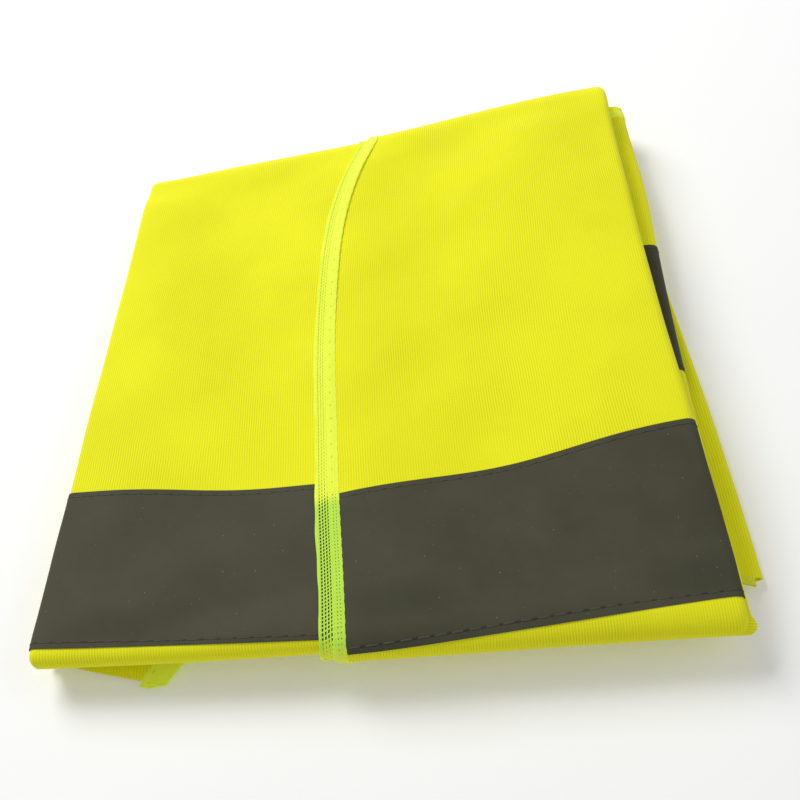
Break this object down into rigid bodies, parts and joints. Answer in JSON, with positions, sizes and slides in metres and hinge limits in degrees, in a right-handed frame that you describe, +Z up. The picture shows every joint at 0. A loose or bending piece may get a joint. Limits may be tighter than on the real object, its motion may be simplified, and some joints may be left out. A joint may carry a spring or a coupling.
{
  "type": "high visibility vest",
  "caption": "Sleeveless V-neck high visibility safety vest with reflective bands and bound edges, folded into a flat parcel that lies front side up.",
  "frame": {"origin": "bottom centre of the folded parcel's bounding box, on the surface it lies on", "axes": "+Z up, +Y along the vest from the near fold to the far fold, +X to the right of someone who faces the near fold"},
  "size_m": [0.1942, 0.2134, 0.027],
  "materials": {
    "knitted_fabric": "matte, fine vertical ribs",
    "knitted_binding": "matte, open knit",
    "reflective_tape": "satin, fine grain",
    "thread": "matte",
    "overlock_thread": "matte",
    "hook_strip": "matte",
    "loop_strip": "matte",
    "label": "matte"
  },
  "bodies": {
    "shoulder_third": {"left_front_panel_shoulder": "knitted_fabric", "right_front_panel_shoulder": "knitted_fabric", "back_panel_shoulder": "knitted_fabric", "left_front_edge_binding_shoulder": "knitted_binding", "left_armhole_binding_shoulder": "knitted_binding", "left_shoulder_seam": "overlock_thread", "right_front_edge_binding_shoulder": "knitted_binding", "right_armhole_binding_shoulder": "knitted_binding", "right_shoulder_seam": "overlock_thread", "back_neck_binding": "knitted_binding", "care_label": "label", "size_tag": "label", "left_front_panel_far_fold": "knitted_fabric", "right_front_panel_far_fold": "knitted_fabric", "back_panel_far_fold": "knitted_fabric", "left_front_edge_binding_far_fold": "knitted_binding", "left_armhole_binding_far_fold": "knitted_binding", "right_front_edge_binding_far_fold": "knitted_binding", "right_armhole_binding_far_fold": "knitted_binding"},
    "front_parcel": {"left_front_panel_body": "knitted_fabric", "left_front_upper_tape": "reflective_tape", "left_front_lower_tape": "reflective_tape", "left_front_upper_tape_stitching": "thread", "left_front_lower_tape_stitching": "thread", "left_front_hem_binding": "knitted_binding", "right_front_panel_body": "knitted_fabric", "right_front_upper_tape": "reflective_tape", "right_front_lower_tape": "reflective_tape", "right_front_upper_tape_stitching": "thread", "right_front_lower_tape_stitching": "thread", "right_front_hem_binding": "knitted_binding", "back_panel_body": "knitted_fabric", "back_upper_tape": "reflective_tape", "back_lower_tape": "reflective_tape", "back_upper_tape_stitching": "thread", "back_lower_tape_stitching": "thread", "back_hem_binding": "knitted_binding", "left_front_edge_binding_body": "knitted_binding", "left_armhole_binding_body": "knitted_binding", "left_side_seam": "overlock_thread", "right_front_edge_binding_body": "knitted_binding", "right_armhole_binding_body": "knitted_binding", "right_side_seam": "overlock_thread", "chest_hook_patch": "hook_strip", "chest_loop_patch": "loop_strip", "waist_hook_patch": "hook_strip", "waist_loop_patch": "loop_strip"}
  },
  "joints": [
    {"name": "far_fold", "type": "hinge", "parent": "shoulder_third", "child": "front_parcel", "pos_m": [-0.00039, 0.1053, 0.01043], "axis": [-0.9995, 0, -0.0314], "range_deg": [0, 180], "deforming": ["left_front_panel_far_fold", "right_front_panel_far_fold", "back_panel_far_fold", "left_front_edge_binding_far_fold", "left_armhole_binding_far_fold", "right_front_edge_binding_far_fold", "right_armhole_binding_far_fold"]}
  ]
}
